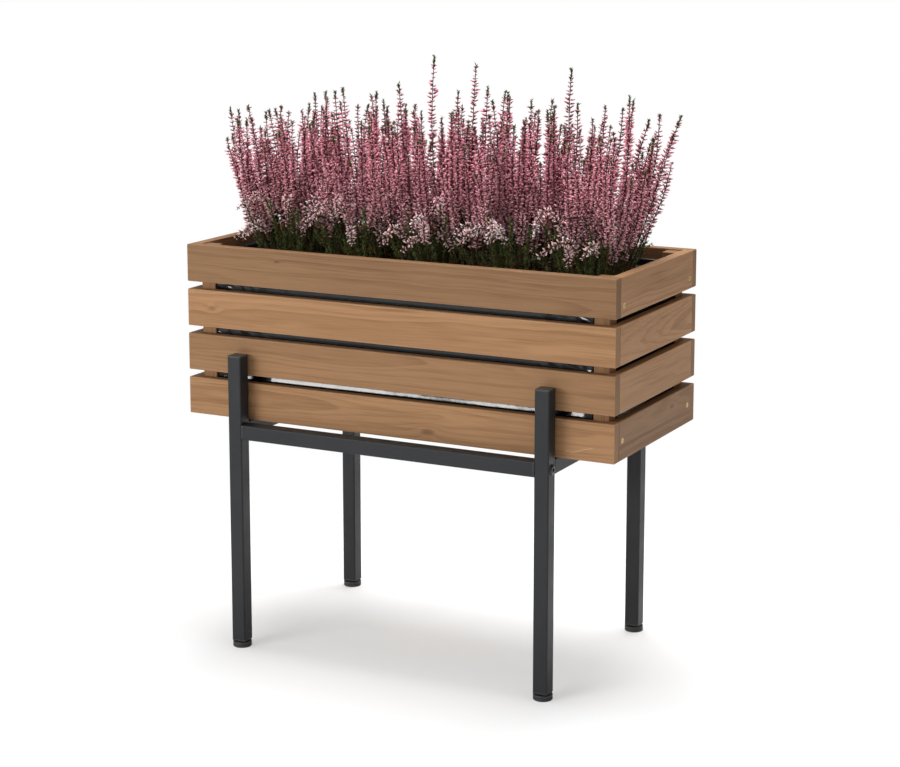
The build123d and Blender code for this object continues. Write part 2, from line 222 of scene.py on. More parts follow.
wear([f"foot_pad_{corner}" for corner in CORNERS],
     skinned("foot_pad_nylon", NYLON_BLACK, NYLON_GRITTY, 1100.0, 0.00010, 0.45, 0.62, IOR=1.53))
wear([f"foot_stud_{corner}" for corner in CORNERS],
     skinned("zinc_plated_steel", ZINC_BRIGHT, ZINC_DULL, 2600.0, 0.00003, 0.24, 0.42,
             Metallic=1.0))


# ---------------------------------------------------------------- corner posts and slats
# The box is planed softwood, stained a light nut brown and oiled: four slats to a side,
# 50 mm high with 10 mm between them, screwed to a square post in each corner. The long
# slats run past the ends of the short ones, so their end grain shows at the corners.

STAIN_LIGHT = (0.296, 0.1610, 0.0765, 1)
STAIN_DEEP = (0.124, 0.0590, 0.0225, 1)
STAIN_END = (0.160, 0.0850, 0.0395, 1)
# The eased edges are drawn lighter: partly stain worn thin, partly a painted highlight of the
# rounded edges catching the light.
EDGE_WEAR_AND_HIGHLIGHT = (0.360, 0.2000, 0.1080, 1)
KNOT_DARK = (0.070, 0.0320, 0.0150, 1)
FILLER = (0.420, 0.3000, 0.2000, 1)
FAR_AWAY = (9.0, 9.0, 9.0)
EASED_WIDTH = 0.0021
LOG_STEP = 1.37
STAINED = (STAIN_LIGHT, STAIN_DEEP, STAIN_END)
MARK_WEIGHTS = (("Rings", 0.34), ("Streaks", 0.26), ("Cloud", 0.16))
FIBRE_WEIGHT = 0.90
END_WEIGHT, EDGE_WEAR_AND_HIGHLIGHT_WEIGHT, KNOT_WEIGHT, FILLER_WEIGHT = 0.62, 0.38, 0.45, 0.75


def stretched_noise(tree, place, stretch, detail=2.0, rough=0.5, offset=(0.0, 0.0, 0.0),
                    output="Fac"):
    """Noise on coordinates in metres, with stretch features per metre along each axis."""
    mapped = wire(tree, "Mapping", [("Vector", place)], Scale=stretch, Location=offset)
    noise = wire(tree, "TexNoise", [("Vector", mapped.outputs[0])],
                 Scale=1.0, Detail=detail, Roughness=rough)
    return noise.outputs[output]


def vector_maths(tree, operation, first, second=(0.0, 0.0, 0.0), third=(0.0, 0.0, 0.0)):
    """A Vector Math node as one line; a length or a dot product comes out as a number."""
    node = wire(tree, "VectorMath", [(0, first), (1, second), (2, third)],
                [("operation", operation)])
    return node.outputs["Value" if operation in ("LENGTH", "DOT_PRODUCT") else "Vector"]


# Solid wood: growth rings about a pith line on X, with fibres, darker streaks and a knot.
timber, timber_in, timber_out = new_group(
    "solid_softwood", ("Rings", "Fibre", "Streaks", "Cloud", "Knot Core"),
    Place=(0.0, 0.0, 0.0), Ring_Width=0.0032, Knot=FAR_AWAY, Knot_Size=0.006)
in_log, knot_reach = timber_in["Place"], timber_in["Knot Size"]
sway = stretched_noise(timber, in_log, (5.0, 26.0, 26.0), output="Color")
swayed = vector_maths(timber, "MULTIPLY_ADD", sway, (0.0, 0.0085, 0.0085), in_log)
radius = vector_maths(timber, "LENGTH", vector_maths(timber, "MULTIPLY", swayed, (0.0, 1.0, 1.0)))
to_knot = vector_maths(timber, "SUBTRACT", in_log, timber_in["Knot"])
flat_knot = vector_maths(timber, "MULTIPLY", to_knot, (0.5, 0.0, 1.0))
knot_share = maths(timber, "DIVIDE", vector_maths(timber, "LENGTH", flat_knot), knot_reach)
knot_square = maths(timber, "MULTIPLY", knot_share, knot_share)
knot_bell = maths(timber, "EXPONENT", maths(timber, "MULTIPLY", knot_square, -0.55))
knot_push = maths(timber, "MULTIPLY", knot_bell, knot_reach)
pushed = maths(timber, "MULTIPLY_ADD", knot_push, 0.65, radius)
ring_count = maths(timber, "DIVIDE", pushed, timber_in["Ring Width"])
uneven = wire(timber, "TexNoise", [("W", ring_count)], [("noise_dimensions", "1D")],
              Scale=0.55, Detail=1.0)
ring_count = maths(timber, "MULTIPLY_ADD", uneven.outputs["Fac"], 2.2, ring_count)
within = maths(timber, "FRACT", ring_count)
year = wire(timber, "TexWhiteNoise", [("W", maths(timber, "FLOOR", ring_count))],
            [("noise_dimensions", "1D")])
late = maths(timber, "MULTIPLY", step_between(timber, within, 0.30, 0.88),
             maths(timber, "SUBTRACT", 1.0, step_between(timber, within, 0.90, 1.0)))
weight = maths(timber, "MULTIPLY_ADD", year.outputs["Value"], 0.75, 0.25)
streak = stretched_noise(timber, in_log, (6.0, 290.0, 290.0), 2.0, 0.55, (0.7, 0.3, 0.1))
patch = stretched_noise(timber, in_log, (5.0, 24.0, 24.0), 2.0, 0.5, (0.2, 0.6, 0.4))
feed(timber, timber_out, [
    ("Rings", maths(timber, "MULTIPLY", late, weight)),
    ("Fibre", stretched_noise(timber, in_log, (15.0, 950.0, 950.0), 3.0, 0.62)),
    ("Streaks", step_between(timber, streak, 0.52, 0.78)),
    ("Cloud", step_between(timber, patch, 0.32, 0.68)),
    ("Knot Core", maths(timber, "SUBTRACT", 1.0, step_between(timber, knot_share, 0.25, 0.85)))])

# Eased edges of a straight piece of a given centre and half size, and its two end faces. The edge
# mask carries worn stain and a painted highlight.
easing, easing_in, easing_out = new_group(
    "eased_edges", ("Edge", "End"), Place=(0.0, 0.0, 0.0), Centre=(0.0, 0.0, 0.0),
    Half_Size=(1.0, 1.0, 1.0), Width=0.002, Grain_Way=(1.0, 0.0, 0.0))
from_centre = vector_maths(easing, "SUBTRACT", easing_in["Place"], easing_in["Centre"])
unsigned = vector_maths(easing, "ABSOLUTE", from_centre)
inside = vector_maths(easing, "SUBTRACT", easing_in["Half Size"], unsigned)
depths = wire(easing, "SeparateXYZ", [(0, inside)])
way = wire(easing, "SeparateXYZ", [(0, easing_in["Grain Way"])])
near_faces, near_end = -1.0, 0.0
for axis in "XYZ":
    near = step_between(easing, depths.outputs[axis], 0.0, easing_in["Width"], 1.0, 0.0)
    near_faces = maths(easing, "ADD", near, near_faces)
    at_end = maths(easing, "LESS_THAN", depths.outputs[axis], 0.0006)
    near_end = maths(easing, "MULTIPLY_ADD", at_end, way.outputs[axis], near_end)
feed(easing, easing_out, [
    ("Edge", maths(easing, "MULTIPLY", near_faces, 1.0, clamp=True)), ("End", near_end)])


def filled_split(tree, here, centre, split):
    """Mask of a short ragged split rubbed with filler: its place from the middle, and slope."""
    spot = wire(tree, "SeparateXYZ", [(0, here)])
    ragged = stretched_noise(tree, here, (130.0, 130.0, 0.0), 3.0, 0.7)
    ragged = maths(tree, "SUBTRACT", ragged, 0.5)
    run = maths(tree, "SUBTRACT", spot.outputs["X"], centre.x + split[0])
    line = maths(tree, "MULTIPLY_ADD", run, split[2], centre.z + split[1])
    line = maths(tree, "MULTIPLY_ADD", ragged, 0.016, line)
    off_line = maths(tree, "ABSOLUTE", maths(tree, "SUBTRACT", spot.outputs["Z"], line))
    filled = maths(tree, "SUBTRACT", 1.0, step_between(tree, off_line, 0.0002, 0.0007))
    past_end = step_between(tree, maths(tree, "ABSOLUTE", run), 0.017, 0.020)
    return maths(tree, "MULTIPLY", filled, maths(tree, "SUBTRACT", 1.0, past_end))


def board_material(name, node, along, pith, lean, ring_width, tone, seed, knot=None, split=None,
                   colours=STAINED):
    """Wood for one straight piece. along is its grain axis; pith is where the tree's centre
    lies from the piece's own middle, as depth and height in metres; lean tips the rings."""
    low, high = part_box(node)
    centre, half = (low + high) / 2, (high - low) / 2
    pitch, yaw = {"X": (0.0, 0.0), "Y": (0.0, -math.pi / 2), "Z": (math.pi / 2, 0.0)}[along]
    turn = Euler((0.0, pitch + lean[0], yaw + lean[1]))
    start = Vector((seed * LOG_STEP, pith[0], pith[1])) - turn.to_matrix() @ centre
    material, tree, here, shader = new_material(name, IOR=1.40, Specular_IOR_Level=0.25)
    mapped = wire(tree, "Mapping", [("Vector", here)],
                  Rotation=tuple(turn), Location=tuple(start))
    wood = wire(tree, "Group", [("Place", mapped.outputs[0])], [("node_tree", timber)],
                Ring_Width=ring_width)
    if knot:
        in_board = (seed * LOG_STEP + knot[0], pith[0], pith[1] + knot[1])
        feed(tree, wood, [("Knot", in_board), ("Knot Size", knot[2])])
    edges = wire(tree, "Group", [("Place", here)], [("node_tree", easing)],
                 Width=EASED_WIDTH, Centre=tuple(centre), Half_Size=tuple(half),
                 Grain_Way=tuple(1.0 if along == axis else 0.0 for axis in "XYZ"))
    light, deep, end = colours
    marks = 0.0
    for feature, weight in MARK_WEIGHTS:
        marks = maths(tree, "MULTIPLY_ADD", wood.outputs[feature], weight, marks)
    marks = maths(tree, "MULTIPLY_ADD", maths(tree, "SUBTRACT", wood.outputs["Fibre"], 0.5),
                  FIBRE_WEIGHT, marks, clamp=True)
    layers = [(edges.outputs["End"], END_WEIGHT, end),
              # Edge layer: worn stain and a painted highlight along the eased edges.
              (edges.outputs["Edge"], EDGE_WEAR_AND_HIGHLIGHT_WEIGHT, EDGE_WEAR_AND_HIGHLIGHT),
              (wood.outputs["Knot Core"], KNOT_WEIGHT, KNOT_DARK)]
    if split:
        layers.append((filled_split(tree, here, centre, split), FILLER_WEIGHT, FILLER))
    colour = blend_colour(tree, marks, light, deep)
    for mask, weight, over in layers:
        colour = blend_colour(tree, maths(tree, "MULTIPLY", mask, weight), colour, over)
    toned = wire(tree, "HueSaturation", [("Color", colour)], Value=tone)
    feed(tree, shader, [("Base Color", toned.outputs[0]),
                        ("Roughness", step_between(tree, marks, 0.0, 1.0, 0.50, 0.72, "LINEAR"))])
    relief = maths(tree, "MULTIPLY_ADD", wood.outputs["Rings"], 0.6, wood.outputs["Fibre"])
    bump(tree, relief, shader, 0.35, 0.00035)
    wear((node,), material)


# Each slat was cut from its own board: pith depth and height, lean, ring width, tone, place
# in the log, and a knot's place along and up the slat with its size.
SLATS = {
    "front_slat_4": ((0.034, 0.013), (0.006, 0.010), 0.0034, 0.76, 3, (-0.17, 0.012, 0.0030)),
    "front_slat_3": ((0.060, 0.006), (0.010, -0.006), 0.0040, 1.17, 7, (-0.272, 0.004, 0.0042)),
    "front_slat_2": ((0.046, -0.021), (-0.007, 0.008), 0.0029, 0.91, 11, None),
    "front_slat_1": ((0.028, -0.010), (0.012, 0.014), 0.0038, 1.07, 13, (0.052, -0.013, 0.0075)),
    "back_slat_4": ((0.050, -0.012), (0.008, 0.006), 0.0032, 0.88, 17, None),
    "back_slat_3": ((0.030, 0.016), (-0.010, 0.012), 0.0036, 0.98, 19, (0.13, 0.006, 0.0055)),
    "back_slat_2": ((0.055, 0.003), (0.014, -0.009), 0.0030, 0.96, 23, None),
    "back_slat_1": ((0.037, -0.018), (0.005, 0.016), 0.0040, 1.02, 29, (-0.09, -0.004, 0.0060)),
    "left_slat_4": ((0.040, 0.010), (0.020, 0.010), 0.0031, 0.95, 31, None),
    "left_slat_3": ((0.026, -0.006), (0.030, 0.022), 0.0035, 1.00, 37, None),
    "left_slat_2": ((0.052, 0.017), (-0.014, 0.010), 0.0033, 0.97, 41, None),
    "left_slat_1": ((0.033, 0.004), (0.022, -0.012), 0.0038, 1.01, 43, (0.03, 0.004, 0.0050)),
    "right_slat_4": ((-0.045, -0.014), (0.012, 0.010), 0.0034, 1.16, 47, None),
    "right_slat_3": ((-0.024, -0.002), (0.040, 0.060), 0.0040, 1.17, 53, None),
    "right_slat_2": ((-0.058, 0.010), (0.010, -0.012), 0.0030, 1.12, 59, None),
    "right_slat_1": ((-0.036, -0.019), (-0.022, 0.012), 0.0036, 0.74, 61, (0.055, 0.010, 0.0048)),
}
SPLITS = {"front_slat_1": (0.262, -0.012, 0.30)}
for node, cut in SLATS.items():
    board_material(f"stained_{node}", node, "X" if node[0] in "fb" else "Y", *cut,
                   split=SPLITS.get(node))

for number, corner in enumerate(CORNERS):
    board_material(f"stained_post_{corner}", f"post_{corner}", "Z",
                   (0.018 + 0.004 * number, 0.012 - 0.006 * number), (0.01, 0.008), 0.0027,
                   1.06, 67 + 6 * number)


# ---------------------------------------------------------------- floor of the box
# Two battens along the long sides carry four spaced boards. They are sawn from the same
# softwood and left raw, because the film covers them from above.

RAW = ((0.480, 0.335, 0.200, 1), (0.300, 0.175, 0.085, 1), (0.260, 0.160, 0.085, 1))

for number, side in enumerate(("front", "back")):
    board_material(f"raw_batten_{side}", f"floor_batten_{side}", "X", (0.024, 0.015),
                   (0.006, 0.010), 0.0030, 1.0, 97 + 4 * number, colours=RAW)
for number in range(1, 5):
    board_material(f"raw_board_{number}", f"floor_board_{number}", "Y", (0.012 * number, 0.030),
                   (0.012, 0.006), 0.0036, 0.94 + 0.03 * number, 103 + 6 * number, colours=RAW)


# ---------------------------------------------------------------- screws and staples
# Countersunk brass-plated screws with a cross recess hold the slats to the posts; the ones
# in the short slats show at the corners. Zinc-plated wire staples pin the film inside.

BRASS_BRIGHT = (0.62, 0.43, 0.17, 1)
BRASS_DULL = (0.38, 0.24, 0.085, 1)
STAPLE_BRIGHT = (0.60, 0.60, 0.61, 1)
STAPLE_DULL = (0.42, 0.42, 0.43, 1)

wear(("side_screws", "post_screws", "batten_screws", "board_screws"),
     skinned("brass_plated_screws", BRASS_BRIGHT, BRASS_DULL, 1800.0, 0.00003, 0.24, 0.42,
             Metallic=1.0))
wear(("liner_staples",),
     skinned("galvanised_staple_wire", STAPLE_BRIGHT, STAPLE_DULL, 1800.0, 0.00003, 0.28, 0.45,
             Metallic=1.0))


# ---------------------------------------------------------------- film liner
# One sheet of black polyethylene is laid in the box, folded at the corners and stapled to
# the top slats. It wraps round the posts, rounds into the floor, and under the weight of
# the soil it bellies out over the lowest slats and creases near the corners.

FILM_BLACK = (0.0030, 0.0036, 0.0046, 1)
FILM_DUSTY = (0.0060, 0.0068, 0.0080, 1)
FILM_GAUGE = 0.0003
FILM_INSET = 0.0009
POST_CLEARANCE = 0.0006
CREASED_FROM, FOLDED_FROM = 0.180, 0.185
FOLD_DEPTH = 0.0045
NEAR_WALL, WALL_FADE, SPAN_FADE = 0.0015, 0.001, 0.012
GAP_LAP, FINE_ROWS, PLAIN_ROWS = 0.003, 0.0013, 0.006
BELLY = ((0.0150, 0.0), (0.0118, 0.0), (0.0104, 0.0002), (0.0090, 0.0005), (0.0076, 0.0008),
         (0.0062, 0.0011), (0.0048, 0.00145), (0.0034, 0.0018), (0.0022, 0.0021), (0.0012, 0.0023),
         (0.0007, 0.0015), (0.0004, 0.0), (-0.0030, -0.0002), (-0.0060, 0.0))
film_low, film_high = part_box("liner")
post_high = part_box("post_front_left")[1]
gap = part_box("front_slat_2")[0].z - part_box("front_slat_1")[1].z
wall_x = film_high.x - FILM_INSET
wall_y = film_high.y - FILM_INSET
corner_x = -post_high.x - POST_CLEARANCE
corner_y = -post_high.y - POST_CLEARANCE


def even_steps(start, end, pitch):
    """Values from start up to but not including end, at about the pitch."""
    count = max(1, round(abs(end - start) / pitch))
    return [start + (end - start) * i / count for i in range(count)]


def quarter_bend(corner, first, second, radius):
    """Points round a corner between two unit directions that leave it."""
    points = []
    for step in range(5):
        angle = step / 4 * math.pi / 2
        points.append(corner + first * radius * (1 - math.sin(angle))
                      + second * radius * (1 - math.cos(angle)))
    return points


outline = []
bend = 0.003
east, north = Vector((1, 0)), Vector((0, 1))
quarter = [
    ("run", Vector((0, -wall_y)), Vector((CREASED_FROM, -wall_y))),
    ("run", Vector((CREASED_FROM, -wall_y)), Vector((corner_x - bend, -wall_y))),
    ("bend", Vector((corner_x, -wall_y)), -east, north),
    ("run", Vector((corner_x, -wall_y + bend)), Vector((corner_x, -corner_y - bend))),
    ("bend", Vector((corner_x, -corner_y)), -north, east),
    ("run", Vector((corner_x + bend, -corner_y)), Vector((wall_x - bend, -corner_y))),
    ("bend", Vector((wall_x, -corner_y)), -east, north),
    ("run", Vector((wall_x, -corner_y + bend)), Vector((wall_x, 0))),
]
for kind, *shape in quarter:
    if kind == "bend":
        outline += quarter_bend(shape[0], shape[1], shape[2], bend)[:-1]
    else:
        start, end = shape
        length = (end - start).length
        pitch = 0.0060 if start.x == 0 else 0.0017 if start.x == CREASED_FROM else 0.0030
        outline += [start.lerp(end, t / length) for t in even_steps(0, length, pitch)]
outline.append(Vector((wall_x, 0)))
loop = outline[:-1] + [Vector((p.x, -p.y)) for p in reversed(outline[1:])]
loop += [Vector((-p.x, -p.y)) for p in outline[:-1]]
loop += [Vector((-p.x, p.y)) for p in reversed(outline[1:])]
loop = np.array([tuple(p) for p in loop])
ahead = np.roll(loop, -1, 0) - np.roll(loop, 1, 0)
ahead /= np.linalg.norm(ahead, axis=1)[:, None]
outward = np.stack([ahead[:, 1], -ahead[:, 0]], 1)
off_middle = np.abs(loop)
on_long_wall = np.clip((off_middle[:, 1] - wall_y + NEAR_WALL) / WALL_FADE, 0, 1)
on_short_wall = np.clip((off_middle[:, 0] - wall_x + NEAR_WALL) / WALL_FADE, 0, 1)
open_span = np.clip((corner_x - off_middle[:, 0]) / SPAN_FADE, 0, 1) * on_long_wall
open_span += np.clip((corner_y - off_middle[:, 1]) / SPAN_FADE, 0, 1) * on_short_wall
near_corner = np.clip((off_middle[:, 0] - FOLDED_FROM) / 0.06, 0, 1) * on_long_wall

levels = [(film_high.z, 0.0)]
for level in (3, 2, 1):
    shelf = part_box(f"front_slat_{level}")[1].z
    above = shelf + gap + GAP_LAP
    levels += [(z, 0.0) for z in even_steps(levels[-1][0] - 0.004, above, PLAIN_ROWS)]
    if level == 1:
        levels += [(shelf + rise, out) for rise, out in BELLY]
    else:
        levels += [(z, 0.0) for z in even_steps(above, shelf - GAP_LAP, FINE_ROWS)]
turn_in = 0.012
levels += [(z, 0.0) for z in even_steps(levels[-1][0] - 0.002, film_low.z + turn_in + 0.001, 0.004)]
rows = []
for row, (height, out) in enumerate(levels):
    swell = np.array([lumps.noise(Vector((x * 14, y * 14, height * 30))) for x, y in loop])
    crease = np.array([lumps.noise(Vector((x * 55 + height * 70, y * 55, height * 45 - x * 20)))
                       for x, y in loop])
    fold = np.clip(0.20 - np.abs(crease), 0, None) * FOLD_DEPTH * near_corner
    belly = out * (0.96 + 0.10 * swell) * open_span
    ripple = (0.00028 * swell + 0.00005 * crease - 0.0003) * open_span
    offset = belly + (ripple + fold) * (1.0 if row else 0.3)
    top_edge = 0.0016 * swell if row == 0 else 0.0
    rows.append(np.column_stack([loop + outward * offset[:, None],
                                 np.full(len(loop), height) + top_edge]))
for step in range(1, 6):
    angle = step / 5 * math.pi / 2
    inward = turn_in * (1 - math.cos(angle))
    scale = 1 - inward / np.array([wall_x, wall_y])
    height = film_low.z + FILM_GAUGE + turn_in * (1 - math.sin(angle))
    rows.append(np.column_stack([loop * scale, np.full(len(loop), height)]))
floor_edge = rows[-1][:, :2]
for share in (0.93, 0.85, 0.76, 0.66, 0.55, 0.44, 0.33, 0.22, 0.11, 0.03):
    ring = floor_edge * share
    lift = [0.00035 * (1 + lumps.noise(Vector((x * 40, y * 40, 3.0)))) for x, y in ring]
    rows.append(np.column_stack([ring, film_low.z + 0.0002 + np.array(lift)]))
around = len(loop)
film_faces = []
for row in range(len(rows) - 1):
    upper, lower = row * around, (row + 1) * around
    film_faces += [(upper + i, lower + i, lower + (i + 1) % around, upper + (i + 1) % around)
                   for i in range(around)]
film_faces.append(tuple(reversed([(len(rows) - 1) * around + i for i in range(around)])))


def new_piece(name, points, faces):
    """A piece from its points and faces, in the scene."""
    mesh = bpy.data.meshes.new(name)
    mesh.from_pydata(points.tolist(), [], faces)
    piece = bpy.data.objects.new(name, mesh)
    bpy.context.scene.collection.objects.link(piece)
    return piece


def pick(piece):
    """Make a piece the only selected and active object."""
    bpy.ops.object.select_all(action="DESELECT")
    piece.select_set(True)
    bpy.context.view_layer.objects.active = piece


film = new_piece("film_liner", np.concatenate(rows), film_faces)
pick(film)
bpy.ops.object.mode_set(mode="EDIT")
bpy.ops.mesh.select_all(action="SELECT")
bpy.ops.mesh.normals_make_consistent(inside=False)
bpy.ops.object.mode_set(mode="OBJECT")
gauge = film.modifiers.new("gauge", "SOLIDIFY")
gauge.thickness = FILM_GAUGE
gauge.offset = -1.0
bpy.ops.object.modifier_apply(modifier=gauge.name)
bpy.ops.object.shade_smooth()

film_skin, tree, here, shader = new_material("black_polyethylene_film", IOR=1.37)
dust = stretched_noise(tree, here, (35.0, 35.0, 60.0), 3.0, 0.6)
dusty = step_between(tree, dust, 0.40, 0.75)
feed(tree, shader, [
    ("Base Color", blend_colour(tree, dusty, FILM_BLACK, FILM_DUSTY)),
    ("Roughness", step_between(tree, dust, 0.3, 0.7, 0.08, 0.17, "LINEAR"))])
bump(tree, stretched_noise(tree, here, (160.0, 160.0, 40.0)), shader, 0.35, 0.0006)
film.data.materials.append(film_skin)
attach(film, "box")
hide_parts("liner")


# ---------------------------------------------------------------- potting soil
# Peat-free potting mix fills the lined box to a finger below the rim. It is dark brown,
# crumbly and damp, with bark chips and lighter fibres lying on top.

SOIL_DAMP = (0.0120, 0.0075, 0.0050, 1)
SOIL_DRY = (0.0520, 0.0330, 0.0210, 1)
BARK = (0.0950, 0.0520, 0.0270, 1)
CRUMBS = 2600
POST_ROOM = (0.268, 0.092)
WALLS_FROM = (0.28, 0.11)
RIM_ROOM, TOP_LAYER = 0.006, 0.004
soil_low, soil_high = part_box("potting_soil")
soil = parts["potting_soil"].copy()
soil.data = parts["potting_soil"].data.copy()
soil.parent = None
soil.name = soil.data.name = "soil_fill"
for key in list(soil.keys()):
    del soil[key]
bpy.context.scene.collection.objects.link(soil)
pick(soil)
bpy.ops.object.mode_set(mode="EDIT")
bpy.ops.mesh.select_all(action="SELECT")
bpy.ops.mesh.remove_doubles(threshold=0.00002)
bpy.ops.object.mode_set(mode="OBJECT")
remesh = soil.modifiers.new("crumb", "REMESH")
remesh.mode = "VOXEL"
remesh.voxel_size = 0.0052
bpy.ops.object.modifier_apply(modifier=remesh.name)
middle = (soil_low + soil_high) / 2
for point in soil.data.vertices:
    place = point.co
    grain = (lumps.noise(place * 60) + 0.6 * lumps.noise(place * 170)
             + 0.35 * lumps.noise(place * 420))
    if place.z > soil_high.z - TOP_LAYER:
        place.z += 0.0024 * grain - 0.0004
    else:
        pull = max(0.0, 0.0010 * (0.6 + grain))
        place.x -= math.copysign(pull, place.x - middle.x) * (abs(place.x) > WALLS_FROM[0])
        place.y -= math.copysign(pull, place.y - middle.y) * (abs(place.y) > WALLS_FROM[1])
bpy.ops.object.shade_smooth()

bpy.ops.mesh.primitive_ico_sphere_add(subdivisions=1, radius=0.0016, location=(0, 0, 0))
crumb = bpy.context.active_object
bpy.ops.object.mode_set(mode="EDIT")
bpy.ops.mesh.select_all(action="SELECT")
bpy.ops.transform.resize(value=(1.5, 0.9, 0.55))
bpy.ops.object.mode_set(mode="OBJECT")


def mesh_arrays(piece):
    """The points and triangles of a small modelled shape."""
    piece.data.calc_loop_triangles()
    points = np.array([tuple(v.co) for v in piece.data.vertices])
    triangles = np.array([tuple(t.vertices) for t in piece.data.loop_triangles])
    return points, triangles


def turned(axes_z, spin):
    """Rotation matrices that take +Z to each direction, after a spin about it."""
    z = axes_z / np.linalg.norm(axes_z, axis=1)[:, None]
    helper = np.where(np.abs(z[:, 2:3]) < 0.9, [[0.0, 0.0, 1.0]], [[1.0, 0.0, 0.0]])
    x = np.cross(helper, z)
    x /= np.linalg.norm(x, axis=1)[:, None]
    y = np.cross(z, x)
    c, s = np.cos(spin)[:, None], np.sin(spin)[:, None]
    return np.stack([x * c + y * s, y * c - x * s, z], axis=2)


def copies(points, triangles, places, rotations, sizes):
    """Copy one shape to many places; sizes is one scale or three for each copy."""
    sizes = np.asarray(sizes, float)
    if sizes.ndim == 1:
        sizes = np.repeat(sizes[:, None], 3, 1)
    moved = np.einsum("nij,npj->npi", rotations, points[None] * sizes[:, None, :])
    moved = moved + places[:, None, :]
    faces = triangles[None] + (np.arange(len(places)) * len(points))[:, None, None]
    return moved.reshape(-1, 3), faces.reshape(-1, 3)


chance = np.random.default_rng(41)
crumb_points, crumb_faces = mesh_arrays(crumb)
crumb_x = chance.uniform(soil_low.x + RIM_ROOM, soil_high.x - RIM_ROOM, CRUMBS)
crumb_y = chance.uniform(soil_low.y + RIM_ROOM, soil_high.y - RIM_ROOM, CRUMBS)
clear = (np.abs(crumb_x) < POST_ROOM[0]) | (np.abs(crumb_y) < POST_ROOM[1])
crumb_x, crumb_y = crumb_x[clear], crumb_y[clear]
crumb_z = soil_high.z + 0.0006 + chance.uniform(-0.0006, 0.0016, len(crumb_x))
way_up = chance.normal(0, 0.45, (len(crumb_x), 3)) + [0, 0, 1]
bits, bit_faces = copies(crumb_points, crumb_faces, np.column_stack([crumb_x, crumb_y, crumb_z]),
                         turned(way_up, chance.uniform(0, 6.28, len(crumb_x))),
                         chance.lognormal(-0.1, 0.45, (len(crumb_x), 3)).clip(0.35, 2.3))
bpy.data.objects.remove(crumb)
crumbs = new_piece("crumbs", bits, bit_faces.tolist())
soil.data.materials.clear()
soil_skin, tree, here, shader = new_material("potting_mix", Roughness=0.95, IOR=1.35)
clods = stretched_noise(tree, here, (90.0, 90.0, 90.0), 4.0, 0.65)
grit = stretched_noise(tree, here, (520.0, 520.0, 520.0), 2.0, 0.6)
tint = blend_colour(tree, step_between(tree, clods, 0.35, 0.72), SOIL_DAMP, SOIL_DRY)
tint = blend_colour(tree, step_between(tree, grit, 0.64, 0.74), tint, BARK)
feed(tree, shader, [("Base Color", tint)])
bump(tree, grit, shader, 0.8, 0.0012)
soil.data.materials.append(soil_skin)
crumbs.data.materials.append(soil_skin)
pick(crumbs)
soil.select_set(True)
bpy.context.view_layer.objects.active = soil
bpy.ops.object.join()
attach(soil, "planting")
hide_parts("potting_soil")


# ---------------------------------------------------------------- heather
# Five pots of bud heather are planted in a row. Woody stems rise from each crown and
# carry whorls of long closed buds, near white low down and mauve towards the top, with a
# tuft of green scale leaves at each tip. Short leafy side shoots fill the foot of the plant.

BUD_LENGTH = 0.0062
BUD_WIDTH = 0.00138
WHORL_PITCH = 0.0047
BUDS_A_WHORL = 5
LEAF_LENGTH = 0.0034
STEM_RADIUS = 0.00075
FLOWER_HEIGHT = 0.24
MISSING_BUDS, RUSTY_LEAVES = 0.10, 0.035
WHORL_TURN, BUD_STANDOFF = 0.8, 0.0006
BUD_RISE, LEAF_RISE = (24, 9), (48, 14)
# Each bud's foot is drawn near black: partly its darker calyx, partly painted shade in the gaps
# between the buds.
BUD_FOOT_CALYX_AND_SHADE = np.array([0.040, 0.009, 0.008])
BUD_LOW = np.array([0.960, 0.640, 0.630])
BUD_MIDDLE = np.array([0.870, 0.355, 0.425])
BUD_HIGH = np.array([0.740, 0.225, 0.310])
LEAF_DARK = np.array([0.020, 0.032, 0.006])
LEAF_FRESH = np.array([0.125, 0.175, 0.032])
STEM_LOW = np.array([0.085, 0.034, 0.012])
STEM_HIGH = np.array([0.026, 0.007, 0.006])
RUST = np.array([0.30, 0.12, 0.015])

# A bud: a slim closed form, widest below its middle and drawn to a blunt tip.
bpy.ops.mesh.primitive_uv_sphere_add(segments=3, ring_count=3, radius=1, location=(0, 0, 0))
bud = bpy.context.active_object
bpy.ops.object.mode_set(mode="EDIT")
bpy.ops.mesh.select_all(action="SELECT")
bpy.ops.transform.translate(value=(0, 0, 1))
bpy.ops.transform.resize(value=(BUD_WIDTH, BUD_WIDTH, BUD_LENGTH / 2), center_override=(0, 0, 0))
bpy.ops.mesh.select_all(action="DESELECT")
bpy.ops.object.mode_set(mode="OBJECT")
for point in bud.data.vertices:
    point.select = BUD_LENGTH * 0.6 < point.co.z < BUD_LENGTH * 0.9
bpy.ops.object.mode_set(mode="EDIT")
bpy.ops.transform.resize(value=(0.72, 0.72, 1))
bpy.ops.transform.translate(value=(0, 0, BUD_LENGTH * 0.06))
bpy.ops.object.mode_set(mode="OBJECT")
bud_points, bud_faces = mesh_arrays(bud)
bpy.data.objects.remove(bud)

# A scale leaf: three-sided, thickest at a third of its length.
bpy.ops.mesh.primitive_cone_add(vertices=3, radius1=LEAF_LENGTH * 0.17, depth=LEAF_LENGTH * 0.7,
                                end_fill_type="TRIFAN", location=(0, 0, LEAF_LENGTH * 0.65))
leaf = bpy.context.active_object
bpy.ops.object.mode_set(mode="EDIT")
bpy.ops.mesh.select_all(action="DESELECT")
bpy.ops.object.mode_set(mode="OBJECT")
for point in leaf.data.vertices:
    point.select = abs(point.co.x) < 1e-6 and abs(point.co.y) < 1e-6 and point.co.z < 0
bpy.ops.object.mode_set(mode="EDIT")
bpy.ops.transform.translate(value=(0, 0, -LEAF_LENGTH * 0.3))
bpy.ops.object.mode_set(mode="OBJECT")
bpy.ops.object.transform_apply(location=True)
leaf_points, leaf_faces = mesh_arrays(leaf)
bpy.data.objects.remove(leaf)


